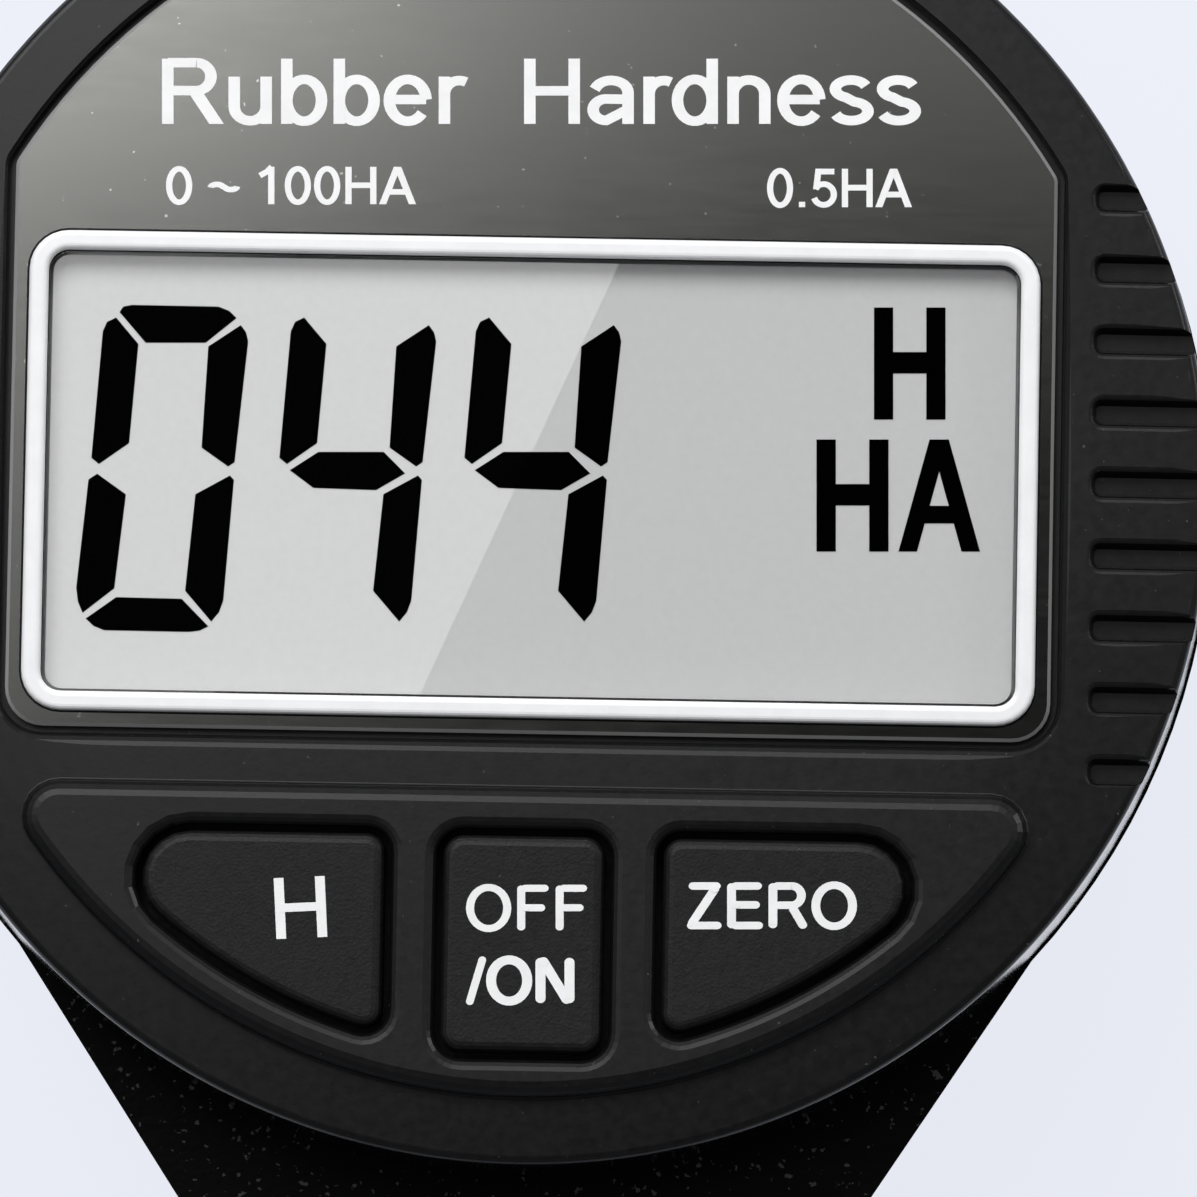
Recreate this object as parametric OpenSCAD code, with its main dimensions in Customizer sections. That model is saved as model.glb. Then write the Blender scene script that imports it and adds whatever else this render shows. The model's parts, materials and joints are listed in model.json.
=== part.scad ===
// Digital durometer lying on its back: round head with display, tapering neck, presser foot and
// a sprung indenter. X to the right, Y from the foot towards the head, Z out of the display.
// The origin is the middle of the head on the rear cover's outer face. Millimetres.

/* [Head] */
// Front housing diameter at its front edge
head_d = 60; // [58:0.5:70]
// How far the front housing's side leans out towards the rear case
front_draft = 0.45; // [0.2:0.05:0.8]
// How far the rear case stands out past the front housing
case_step = 0.1; // [0.1:0.05:1]
// Front housing thickness from the parting plane to the front plane
front_t = 7.2; // [6.8:0.1:9]
// How far the rear case stands past the presser foot at the front and back
case_margin = 0.25; // [0.15:0.05:1]
// Rear case side wall
case_wall = 2.05; // [1.6:0.05:3]
// Front housing side wall
front_wall = 2; // [1.4:0.1:2.6]
// Rear cover thickness
cover_t = 2; // [2:0.1:3]
// How far the rear cover's edge stands in from the rear case
cover_inset = 0.6; // [0.2:0.1:1.2]

/* [Rim and grip] */
// Rim width from the outer edge to the plate pocket
rim_w = 2.65; // [2:0.05:3.5]
// Fall of the rim towards the outer edge
rim_drop = 0.35; // [0.1:0.05:0.5]
// Width of the ring that falls, ever more, towards the outer edge
dome_w = 8; // [6:0.5:10]
// Radius of the outer front edge
rim_round = 0.5; // [0.3:0.05:0.8]
// Grip grooves on each side
groove_count = 9; // [5:2:9]
// Distance between grip grooves
groove_pitch = 3.18; // [2.4:0.02:3.3]
// Height of the middle groove above the head's middle
groove_up = 0.5; // [0:0.1:0.8]
// Grip groove width under its lips
groove_w = 1; // [0.8:0.05:1.4]
// Corner radius of a groove's inner end
groove_r = 0.35; // [0.3:0.05:0.4]
// How far a groove's sides lean out from its floor to its lips
groove_lean = 0.15; // [0.05:0.05:0.2]
// Grip groove depth
groove_depth = 0.8; // [0.6:0.05:1.2]
// Radius of a groove's lip
groove_lip = 0.3; // [0.1:0.05:0.35]
// Distance of the grip grooves' inner ends from the outer edge
groove_len = 5.15; // [3.5:0.05:5.2]

/* [Faceplate and window] */
// Distance of the window's sides from the head's outer edge
window_side = 8.45; // [8:0.05:10]
// Distance of the window's lower edge from the head's lowest point
window_low = 20.6; // [20:0.1:22]
// Distance of the window's upper edge from the head's highest point
window_top = 19.8; // [19.5:0.1:22]
// Window corner radius
window_r = 0.9; // [0.5:0.1:1.5]
// Width of the white window frame
frame_w = 0.85; // [0.6:0.05:1.2]
// How far the window frame stands above the faceplate
frame_proud = 0.3; // [0.1:0.05:0.6]
// Radius of the window frame's edges
frame_round = 0.25; // [0.1:0.05:0.3]
// Width of the frame's lip over the lens
frame_lip = 0.4; // [0.25:0.05:0.5]
// Gap around the lens
lens_gap = 0.1; // [0.05:0.05:0.15]
// Lens thickness
lens_t = 0.6; // [0.4:0.05:0.8]
// Pocket margin beside the window frame
pocket_side = 1; // [0.7:0.05:1.3]
// Pocket margin below the window frame
pocket_below = 1; // [0.7:0.05:1.5]
// Plate pocket depth
pocket_depth = 1.3; // [1.2:0.05:1.6]
// Wall under the plate pocket
pocket_floor = 0.9; // [0.7:0.05:1.2]
// Radius of the pocket's lip
pocket_lip = 0.55; // [0.2:0.05:0.6]
// Pocket corner radius at the bottom
pocket_low_r = 2; // [1.2:0.1:3]
// Pocket corner radius where the sides meet the arc
pocket_top_r = 1; // [0.8:0.1:1.6]
// Faceplate thickness
plate_t = 0.8; // [0.5:0.05:1]
// Chamfer of the faceplate's outer edge
plate_edge = 0.15; // [0.05:0.05:0.3]
// Gap around the faceplate
plate_gap = 0.3; // [0.1:0.05:0.4]
// Gap between the faceplate and the window frame
frame_gap = 0.1; // [0.05:0.05:0.2]

/* [Buttons] */
// Height of the button panel above the front plane
panel_rise = 0.8; // [0.5:0.05:1]
// Distance of the panel's arc from the outer edge
panel_edge = 3; // [2.6:0.1:3.6]
// Panel corner radius
panel_corner = 1.6; // [1.4:0.1:3]
// Radius of the hollow around the panel's foot
panel_foot = 0.1; // [0.1:0.05:0.4]
// Strip of housing between the plate pocket and the panel
bridge_w = 2.1; // [1.8:0.05:2.8]
// Distance of the keys' arc from the panel's arc
key_edge = 1.96; // [1.6:0.02:2.4]
// Distance of the keys' top edges from the panel's top edge
key_top_gap = 2.15; // [1.7:0.05:2.4]
// Distance of the side keys from the middle
key_split = 6.15; // [5.8:0.05:7]
// Middle key width
power_w = 7.1; // [6:0.1:7.4]
// Middle key corner radius
power_r = 0.9; // [0.6:0.1:1.2]
// Outer corner radius of a side key
key_corner = 2.1; // [1.9:0.1:3]
// Small corner radius of a side key
key_small_r = 0.8; // [0.6:0.1:1.2]
// Gap around a key
key_gap = 0.3; // [0.25:0.05:0.45]
// Radius of a well's lip
well_lip = 0.5; // [0.3:0.05:0.6]
// Height of the keys above the front plane
key_rise = 0.6; // [0.5:0.05:0.8]
// Radius of a key's top edge
key_round = 0.45; // [0.2:0.05:0.6]
// Key travel
key_travel = 0.5; // [0.3:0.05:0.6]
// Width of a key's flange
flange_w = 0.7; // [0.5:0.05:0.8]
// Thickness of a key's flange
flange_t = 1; // [0.8:0.05:1.2]
// Play of a key under the housing
key_play = 0.1; // [0.05:0.05:0.2]
// Key stem diameter
stem_d = 3; // [2.4:0.1:3.6]

/* [Display and board] */
// Border of the display glass behind the window
lcd_border = 0.9; // [0.6:0.05:1.1]
// Display glass thickness
lcd_t = 2.2; // [1.8:0.1:2.6]
// Gap around the display's front glass, which stands in the window
lcd_gap = 0.15; // [0.1:0.05:0.3]
// Gap between the display's front glass and the lens
lcd_clear = 0.1; // [0.05:0.05:0.2]
// Height of the display carrier above the board
carrier_h = 3; // [2.8:0.1:4]
// Display carrier wall
carrier_wall = 1.2; // [0.8:0.1:1.6]
// Contact strip width
strip_w = 2; // [1.5:0.1:2.5]
// Distance of a contact strip's ends from the window's sides
strip_end = 3.6; // [2.6:0.1:6]
// Board thickness
board_t = 1.6; // [1:0.1:2]
// Gap between the board and the front housing's wall
board_gap = 0.7; // [0.4:0.1:1]
// Control chip width
chip_w = 9; // [6:0.5:12]
// Control chip thickness
chip_t = 1.2; // [0.8:0.1:1.6]
// Distance of the upper board bosses from the front housing's wall
boss_edge = 3.4; // [3:0.1:4]
// Angle of the upper board bosses above the horizontal
boss_angle = 57; // [55:1:59]
// Spread of the lower board bosses
boss_low_x = 9.5; // [8:0.1:11]
// Board boss radius
boss_r = 1.5; // [1.3:0.05:1.6]

/* [Switches] */
// Switch body width
switch_w = 5.2; // [4.5:0.1:6]
// Switch body height
switch_h = 2.2; // [2:0.1:2.4]
// Switch plunger diameter
plunger_d = 2.6; // [2:0.1:2.8]
// How far a plunger stands out of its switch
plunger_out = 0.7; // [0.65:0.05:0.9]
// Gap around a plunger
plunger_gap = 0.3; // [0.25:0.05:0.4]
// Length of a plunger inside its switch
plunger_in = 0.3; // [0.2:0.05:0.4]
// Depth left under a pressed plunger
plunger_room = 0.1; // [0.1:0.05:0.3]
// Distance of a side switch from its key's inner edge
switch_in = 1.6; // [1.2:0.1:2]
// Distance of a side switch from its key's top edge
switch_drop = 0.4; // [0.2:0.1:0.8]

/* [Fasteners] */
// Case screw diameter
case_screw_d = 2.4; // [2:0.1:2.6]
// Case screw head diameter
case_head_d = 4.4; // [4:0.1:4.6]
// Gap around a case screw
screw_gap = 0.15; // [0.1:0.05:0.25]
// Screw post radius
post_r = 2.4; // [2.2:0.1:2.6]
// How far a screw post runs into the housing wall
post_bite = 1; // [0.8:0.1:1.3]
// Angle of the upper screw posts above the horizontal
post_up_angle = 38; // [36:1:42]
// Angle of the lower screw posts below the horizontal
post_low_angle = 35; // [34:1:37]
// Board screw diameter
board_screw_d = 1.5; // [1.3:0.1:1.6]
// Board screw head diameter
board_head_d = 2.8; // [2.4:0.1:3.2]
// Board screw head thickness
board_head_t = 0.9; // [0.7:0.1:1]
// Board screw length in its boss
board_screw_in = 3; // [2.4:0.1:3.2]
// Case screw length in the front housing
case_screw_in = 3.5; // [2.8:0.1:3.8]
// Depth of a case screw's head below the rear face
head_sink = 0.1; // [0.05:0.05:0.2]
// Width of a screw's driver slot
driver_w = 0.6; // [0.4:0.05:0.8]
// How far a set screw sits below the surface
set_sink = 0.3; // [0.2:0.05:0.5]

/* [Neck and foot] */
// Lean of the neck's sides from the vertical
neck_angle = 33.3; // [32:0.1:38]
// How far the neck's sides start inside the case's circle
neck_bite = 0.35; // [0.15:0.05:0.5]
// Width of the neck's end past the foot
neck_wall = 1.5; // [1.2:0.1:2]
// Length of the neck's straight end
neck_end = 4.25; // [3:0.25:6]
// Presser foot diameter
foot_d = 18; // [16:0.5:20]
// Presser foot height
foot_h = 8; // [6:0.25:10]
// Bevel of the presser foot's edges
foot_bevel = 0.5; // [0.2:0.1:0.8]
// Presser foot hole diameter
foot_hole_d = 3; // [2.5:0.1:3.6]
// Floor of the presser foot around its hole
foot_floor = 2.5; // [1.5:0.1:3]
// Diameter of the spigot in the neck
spigot_d = 12; // [10:0.5:13]
// Length of the spigot in the neck
spigot_len = 7; // [6:0.25:7.5]
// Bore of the foot around the spindle
foot_bore_d = 5.2; // [5:0.1:6]
// Diameter of the screw that holds the foot
foot_screw_d = 3; // [2.5:0.1:3.5]
// Distance of that screw from the neck's end
foot_screw_y = 3.5; // [3:0.25:4.5]

/* [Indenter and spindle] */
// Indenter diameter
indenter_d = 1.25; // [1.1:0.05:1.4]
// Indenter length outside the foot at rest
indenter_out = 2.5; // [2.3:0.1:2.6]
// Full angle of the indenter's cone
tip_angle = 35; // [30:1:40]
// Diameter of the indenter's flat end
tip_flat_d = 0.79; // [0.7:0.01:0.9]
// Indenter length held in the spindle
indenter_grip = 6; // [4:0.5:8]
// Spindle diameter
spindle_d = 4; // [3.4:0.1:4.4]
// Length of the spindle past the scale carrier
spindle_past = 1; // [0.5:0.1:1.5]
// Gap between the spindle's end and the foot's floor
spindle_gap = 0.4; // [0.3:0.05:0.8]
// Indenter stroke
stroke = 2.5; // [2.3:0.1:2.6]
// Radial clearance of a running fit
run_fit = 0.03; // [0.02:0.005:0.06]
// Radial clearance of a fixed fit
fix_fit = 0.02; // [0.01:0.005:0.03]
// Outer diameter of the bushes
bush_d = 8; // [7:0.1:8.6]
// How far the lower bush stands into the case
bush_proud = 1.4; // [1.2:0.1:2]

/* [Spring] */
// Spring wire diameter
wire_d = 0.8; // [0.5:0.05:0.9]
// Spring mean diameter
coil_d = 6.6; // [6.2:0.1:6.8]
// Spring turns
coil_turns = 9; // [6:0.5:12]
// Spring collar diameter
collar_d = 10; // [8.5:0.25:11]
// Spring collar length
collar_len = 4; // [3.4:0.1:5]
// Diameter of the small set screws
set_screw_d = 2; // [1.6:0.1:2.2]
// How far the spring adjuster stands below the crossbar
adjuster_out = 2.5; // [1.5:0.1:3.5]
// Adjuster nut width across flats
nut_af = 10; // [9.5:0.1:10.5]
// Adjuster nut thickness
nut_t = 2.2; // [1.6:0.1:2.4]

/* [Crossbar and sensor] */
// Distance of the crossbar's middle from the top of the case's cavity
bar_drop = 16.5; // [16.2:0.1:18]
// Crossbar width
bar_w = 6; // [5:0.1:7]
// Crossbar thickness
bar_t = 8; // [7:0.25:9]
// Gap between the adjuster nut and the carrier
sensor_rise = 1.3; // [0.8:0.1:1.6]
// Scale carrier height
sensor_h = 4; // [3.4:0.1:4.4]
// Scale carrier width
sensor_w = 12; // [10:0.25:13]
// Depth of the scale carrier behind the spindle's axis
sensor_back = 5; // [4.6:0.1:5.2]
// Thickness of the carrier's guide arm
arm_t = 6; // [5:0.25:6.5]
// Distance of the guide pin from the spindle
guide_x = 9; // [8.5:0.1:9.5]
// Guide pin diameter
guide_d = 2; // [1.6:0.1:2.2]
// Length of the guide pin past the carrier at full stroke
guide_past = 0.6; // [0.4:0.1:1]
// Depth of the guide pin in the crossbar
guide_grip = 4; // [3:0.25:5]
// Guide arm past the pin's middle
arm_end = 2.2; // [1.8:0.1:2.5]
// Moving grid height
grid_h = 13.5; // [11:0.5:14]
// Moving grid thickness
grid_t = 0.8; // [0.5:0.05:1]
// Gap between the moving grid and the board
grid_gap = 0.4; // [0.3:0.05:0.8]

/* [Battery] */
// Cell diameter
cell_d = 20; // [19:0.1:20.5]
// Cell thickness
cell_t = 3.2; // [2.4:0.1:3.4]
// Distance of the cell's middle from the top of the case's cavity
cell_drop = 14; // [13.5:0.1:14.2]
// Gap around the cell
cell_gap = 0.5; // [0.45:0.05:0.7]
// Play of the cell over the cap
cell_play = 0.1; // [0.05:0.05:0.2]
// How far the cell stands out of its tray
cell_proud = 0.2; // [0.1:0.05:0.4]
// Gap beside the cap's gasket
gasket_gap = 0.1; // [0.05:0.05:0.2]
// Wall of the cell's tray
tray_wall = 2; // [1.4:0.1:2.4]
// Landing of the cap under the tray
cap_land = 0.9; // [0.7:0.05:1.1]
// Gap around the cap
cap_gap = 0.3; // [0.25:0.05:0.4]
// Depth of the cap below the rear face
cap_sink = 0.2; // [0.1:0.05:0.3]
// Cap thickness
cap_t = 1.5; // [1.4:0.05:1.6]
// Reach of the cap's lugs
lug_out = 1; // [0.8:0.05:1.2]
// Thickness of the cap's lugs
lug_t = 0.5; // [0.4:0.05:0.55]
// Rim of the cover under the lugs
lug_rim = 0.8; // [0.7:0.05:0.9]
// Gap around a lug in its groove
lug_gap = 0.3; // [0.25:0.05:0.35]
// Angle that a lug spans
lug_angle = 30; // [20:1:36]
// Angle that an entry notch is wider than its lug
notch_gap = 6; // [4:1:10]
// Turn of the cap from shut to free
cap_turn = 60; // [50:1:70]
// Coin slot length
slot_len = 12; // [8:0.5:16]
// Coin slot width
slot_w = 1.8; // [1.4:0.1:2.4]
// Coin slot depth
slot_depth = 0.8; // [0.5:0.05:1]
// Contact strip thickness
contact_t = 0.3; // [0.2:0.05:0.35]
// Contact strip width
contact_w = 3; // [2:0.1:3.4]
// Angle of the contacts on each side of the cell's lowest point
contact_angle = 38; // [34:1:40]
// Distance of the negative contact's end from the cell's middle
contact_reach = 6; // [4:0.25:7]
// Gap between a contact and what it stands beside
contact_gap = 0.1; // [0.05:0.05:0.2]

/* [Hidden] */
$fn = 96;
eps = 0.01;
cut = 1;
corner_n = 7;
arc_n = 26;
lip_n = 4;
dome_n = 8;

head_r = head_d / 2;
case_r = head_r + front_draft + case_step;
cavity_r = case_r - case_wall;
front_in_r = head_r - front_wall;

window_w = head_d - 2 * window_side;
window_h = head_d - window_low - window_top;
window_y = (window_low - window_top) / 2;
strip_len = window_w - 2 * strip_end;
boss_top = (front_in_r - boss_edge) * [cos(boss_angle), sin(boss_angle)];
bar_y = cavity_r - bar_drop;
cell_y = cavity_r - cell_drop;

case_t = foot_d + 2 * case_margin;
part_z = cover_t + case_t;
front_z = part_z + front_t;
ceil_z = front_z - pocket_depth - pocket_floor;
floor_z = front_z - pocket_depth;
panel_z = front_z + panel_rise;
key_z = front_z + key_rise;
axis_z = cover_t + case_t / 2;
lcd_z = ceil_z - lcd_t;
board_z1 = lcd_z - carrier_h;
board_z0 = board_z1 - board_t;

pocket_r = head_r - rim_w;
pocket_hw = window_w / 2 + frame_w + pocket_side;
pocket_y = window_y - window_h / 2 - frame_w - pocket_below;
panel_r = head_r - panel_edge;
panel_y = pocket_y - bridge_w;
key_r = panel_r - key_edge;
key_y = panel_y - key_top_gap;
flange_z = ceil_z - key_play - flange_t;
plunger_z = board_z1 + switch_h + plunger_out;
side_switch = [key_split + switch_in + switch_w / 2, key_y - switch_drop - switch_w / 2];
power_switch = [0, (key_y - key_r) / 2];

post_c = front_in_r - post_r + post_bite;
post_angles = [post_up_angle, 180 - post_up_angle, 180 + post_low_angle, 360 - post_low_angle];
posts = [for (a = post_angles) post_c * [cos(a), sin(a)]];
lcd_low_y = window_y - window_h / 2 - lcd_border;
boss_low_y = (lcd_low_y + key_y + flange_w) / 2;
bosses = [
    boss_top,
    [-boss_top.x, boss_top.y],
    [-boss_low_x, boss_low_y],
    [boss_low_x, boss_low_y]
];

neck_hw = foot_d / 2 + neck_wall;
neck_d = case_r - neck_bite;
taper_y = -(neck_d - neck_hw * cos(neck_angle)) / sin(neck_angle);
neck_y = taper_y - neck_end;
foot_y = neck_y - foot_h;
bush_y0 = neck_y + spigot_len;
bush_y1 = bush_proud - cavity_r;
spindle_y0 = foot_y + foot_floor + spindle_gap;
collar_y1 = bush_y1 + collar_len;
bar_y0 = bar_y - bar_w / 2;
bar_y1 = bar_y + bar_w / 2;
adjuster_y0 = bar_y0 - adjuster_out;
nut_y1 = bar_y1 + nut_t;
sensor_y0 = nut_y1 + sensor_rise;
sensor_y1 = sensor_y0 + sensor_h;
spindle_y1 = sensor_y1 + spindle_past;
grid_z1 = board_z0 - grid_gap;
grid_z0 = grid_z1 - grid_t;

cell_r = cell_d / 2;
tray_r = cell_r + cell_gap;
cap_r = tray_r + cap_land;
cap_hole_r = cap_r + cap_gap;
lug_r = cap_r + lug_out;
cap_z1 = cap_sink + cap_t;
cell_z0 = cap_z1 + cell_play;
cell_z1 = cell_z0 + cell_t;
lug_z0 = lug_rim + (cap_z1 - lug_rim - lug_t) / 2;

// Points of an arc, both ends included
function arc(c, r, a0, a1, n) = [
    for (i = [0:n]) c + r * [cos(a0 + (a1 - a0) * i / n), sin(a0 + (a1 - a0) * i / n)]
];

// Points of an arc without its end, where another arc goes on
function arc_to(c, r, a0, a1, n) = [
    for (i = [0:n - 1]) c + r * [cos(a0 + (a1 - a0) * i / n), sin(a0 + (a1 - a0) * i / n)]
];

// Rounded rectangle about c, grown by d
function rect_line(c, w, h, r, d) =
    let (x = w / 2 - r, y = h / 2 - r)
    concat(
        arc(c + [x, y], r + d, 0, 90, corner_n),
        arc(c + [-x, y], r + d, 90, 180, corner_n),
        arc(c + [-x, -y], r + d, 180, 270, corner_n),
        arc(c + [x, -y], r + d, 270, 360, corner_n)
    );

// Plate pocket: inside the rim's arc, between two sides and above a lower edge, grown by d
function pocket_line(d) =
    let (
        low = [pocket_hw - pocket_low_r, pocket_y + pocket_low_r],
        tx = pocket_hw - pocket_top_r,
        top = [tx, sqrt(pow(pocket_r - pocket_top_r, 2) - tx * tx)],
        a = atan2(top.y, top.x)
    )
    concat(
        arc(low, pocket_low_r + d, -90, 0, corner_n),
        arc_to(top, pocket_top_r + d, 0, a, 3),
        arc_to([0, 0], pocket_r + d, a, 180 - a, arc_n * 2),
        arc([-top.x, top.y], pocket_top_r + d, 180 - a, 180, 3),
        arc([-low.x, low.y], pocket_low_r + d, 180, 270, corner_n)
    );

// Button panel: the disc's segment below a straight edge, grown by d
function panel_line(d) =
    let (
        cy = panel_y - panel_corner,
        c = [sqrt(pow(panel_r - panel_corner, 2) - cy * cy), cy],
        a = atan2(c.y, c.x)
    )
    concat(
        arc(c, panel_corner + d, a, 90, corner_n),
        arc_to([-c.x, c.y], panel_corner + d, 90, 180 - a, corner_n),
        arc_to([0, 0], panel_r + d, 180 - a, 360 + a, arc_n * 2)
    );

// Right side key: under a straight top, outside a straight inner edge, inside an arc, grown by d
function side_line(d) =
    let (
        ty = key_y - key_corner,
        top = [sqrt(pow(key_r - key_corner, 2) - ty * ty), ty],
        lx = key_split + key_small_r,
        low = [lx, -sqrt(pow(key_r - key_small_r, 2) - lx * lx)],
        at = atan2(top.y, top.x),
        al = atan2(low.y, low.x)
    )
    concat(
        arc(top, key_corner + d, at, 90, corner_n),
        arc([lx, key_y - key_small_r], key_small_r + d, 90, 180, corner_n),
        arc_to(low, key_small_r + d, 180, 360 + al, corner_n),
        arc_to([0, 0], key_r + d, al, at, arc_n)
    );

// Middle key, grown by d
function power_line(d) =
    rect_line([0, (key_y - key_r) / 2], power_w, key_r + key_y, power_r, d);

// Display window, grown by d
function window_line(d) = rect_line([0, window_y], window_w, window_h, window_r, d);

// Grip groove from its inner end to past the outer edge, grown by d
function groove_line(d) =
    let (x = groove_len + cut, y = groove_w / 2)
    concat(
        [[x, y + d]],
        arc([groove_r, y - groove_r], groove_r + d, 90, 180, lip_n),
        arc([groove_r, groove_r - y], groove_r + d, 180, 270, lip_n),
        [[x, -y - d]]
    );

// Neck below the case's disc, drawn in by d
function neck_line(d) =
    let (
        c = (neck_d - d) * [cos(neck_angle), -sin(neck_angle)],
        x = neck_hw - d,
        y = -(neck_d - d - x * cos(neck_angle)) / sin(neck_angle)
    )
    [[-c.x, c.y], [-x, y], [-x, neck_y + d], [x, neck_y + d], [x, y], c];

// How far the front lies below its plane at radius r
function rim_fall(r) =
    rim_drop * pow(max(0, r - head_r + dome_w) / (dome_w - rim_round), 2);

function at_z(line, z) = [for (p = line) [p.x, p.y, z]];

// Solid through a list of rings with the same number of points, lowest first
module loft(rings) {
    n = len(rings[0]);
    top = (len(rings) - 1) * n;
    polyhedron(
        points = [for (r = rings) each r],
        faces = concat(
            [[for (i = [0:n - 1]) i]],
            [for (k = [0:len(rings) - 2]) for (i = [0:n - 1])
                [k * n + i, (k + 1) * n + i, (k + 1) * n + (i + 1) % n, k * n + (i + 1) % n]],
            [[for (i = [n - 1:-1:0]) top + i]]
        )
    );
}

module ring(r_out, r_in, h) {
    difference() {
        cylinder(r = r_out, h = h);
        translate([0, 0, -cut])
            cylinder(r = r_in, h = h + 2 * cut);
    }
}

// Rod along Y on the spindle's axis
module rod(r, y0, y1) {
    translate([0, y0, axis_z])
        rotate([-90, 0, 0])
            cylinder(r = r, h = y1 - y0);
}

module tube(r_out, r_in, y0, y1) {
    difference() {
        rod(r_out, y0, y1);
        rod(r_in, y0 - cut, y1 + cut);
    }
}

module box(x0, x1, y0, y1, z0, z1) {
    translate([x0, y0, z0])
        cube([x1 - x0, y1 - y0, z1 - z0]);
}

// Outline of the case and neck, drawn in by d
module case_shape(d) {
    circle(r = case_r - d);
    polygon(neck_line(d));
}

module window_shape(d) {
    polygon(window_line(d));
}

// Headless screw with a hex socket, tip at the origin and socket towards +Z
module set_screw(d, h) {
    difference() {
        cylinder(r = d / 2, h = h);
        translate([0, 0, h / 2])
            cylinder(r = d / 4, h = h, $fn = 6);
    }
}

// Flat floored groove that runs out at the edge, with rounded lips that follow the front's fall
module groove_cut(y) {
    x = head_r - groove_len;
    fall = rim_fall(norm([x, y]));
    tilt = atan((rim_drop - fall) / (sqrt(head_r * head_r - y * y) - x));
    lips = [
        for (k = [0:lip_n])
            let (a = 90 * k / lip_n)
            at_z(groove_line(groove_lip * (1 - cos(a))), groove_lip * (sin(a) - 1))
    ];
    translate([x, y, front_z - fall])
        rotate([0, tilt, 0])
            loft(concat(
                [at_z(groove_line(-groove_lean), -groove_depth)],
                lips,
                [at_z(groove_line(groove_lip), cut)]
            ));
}

module grip_cuts() {
    for (i = [0:groove_count - 1])
        groove_cut(groove_up + (i - (groove_count - 1) / 2) * groove_pitch);
}

module well_cut(kind) {
    top = panel_z - well_lip;
    side = kind == "side";
    low = side ? side_line(key_gap) : power_line(key_gap);
    lips = [
        for (k = [1:lip_n])
            let (a = 90 * k / lip_n, d = key_gap + well_lip * (1 - cos(a)))
            at_z(side ? side_line(d) : power_line(d), top + well_lip * sin(a))
    ];
    last = side ? side_line(key_gap + well_lip) : power_line(key_gap + well_lip);
    loft(concat([at_z(low, ceil_z - cut), at_z(low, top)], lips, [at_z(last, panel_z + cut)]));
}

module pocket_cut() {
    top = front_z - pocket_lip;
    lips = [
        for (k = [1:lip_n])
            let (a = 90 * k / lip_n)
            at_z(pocket_line(pocket_lip * (1 - cos(a))), top + pocket_lip * sin(a))
    ];
    loft(concat(
        [at_z(pocket_line(0), floor_z), at_z(pocket_line(0), top)],
        lips,
        [at_z(pocket_line(pocket_lip), front_z + cut)]
    ));
}

// Raised panel with a hollow around its foot and a rounded shoulder
module panel_body() {
    low = front_z + panel_foot;
    high = panel_rise - panel_foot;
    feet = [
        for (k = [0:lip_n])
            let (a = 90 * k / lip_n)
            at_z(panel_line(panel_foot * (1 - sin(a))), low - panel_foot * cos(a))
    ];
    shoulders = [
        for (k = [1:lip_n])
            let (a = 90 * k / lip_n)
            at_z(panel_line(-high * (1 - cos(a))), low + high * sin(a))
    ];
    loft(concat([at_z(panel_line(panel_foot), front_z - cut)], feet, shoulders));
}

module rim_body() {
    edge = front_z - rim_drop - rim_round;
    in = head_r - rim_round;
    dome = [
        for (k = [dome_n:-1:0])
            let (r = in - (dome_w - rim_round) * (1 - k / dome_n))
            [r, front_z - rim_fall(r)]
    ];
    rotate_extrude($fn = 180) {
        polygon(concat(
            [[0, part_z], [head_r + front_draft, part_z], [head_r, edge], [in, edge]],
            dome,
            [[0, front_z]]
        ));
        translate([in, edge])
            circle(r = rim_round, $fn = 32);
    }
}

module front_housing() {
    color([0.13, 0.13, 0.14])
        difference() {
            union() {
                difference() {
                    union() {
                        rim_body();
                        panel_body();
                    }
                    translate([0, 0, part_z - cut])
                        cylinder(r = front_in_r, h = ceil_z - part_z + cut);
                }
                intersection() {
                    for (p = posts)
                        translate([p.x, p.y, part_z])
                            cylinder(r = post_r, h = ceil_z - part_z + eps);
                    translate([0, 0, part_z])
                        cylinder(r = front_in_r + eps, h = front_t);
                }
                for (p = bosses)
                    translate([p.x, p.y, board_z1])
                        cylinder(r = boss_r, h = ceil_z - board_z1 + eps);
            }
            pocket_cut();
            well_cut("side");
            mirror([1, 0, 0])
                well_cut("side");
            well_cut("power");
            grip_cuts();
            mirror([1, 0, 0])
                grip_cuts();
            translate([0, 0, ceil_z - cut])
                linear_extrude(pocket_floor + 2 * cut)
                    window_shape(0);
            for (p = posts)
                translate([p.x, p.y, part_z - cut])
                    cylinder(r = case_screw_d / 2 + screw_gap, h = ceil_z - part_z);
            for (p = bosses)
                translate([p.x, p.y, board_z1 - cut])
                    cylinder(r = board_screw_d / 2 + fix_fit, h = ceil_z - board_z1);
        }
}

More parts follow.
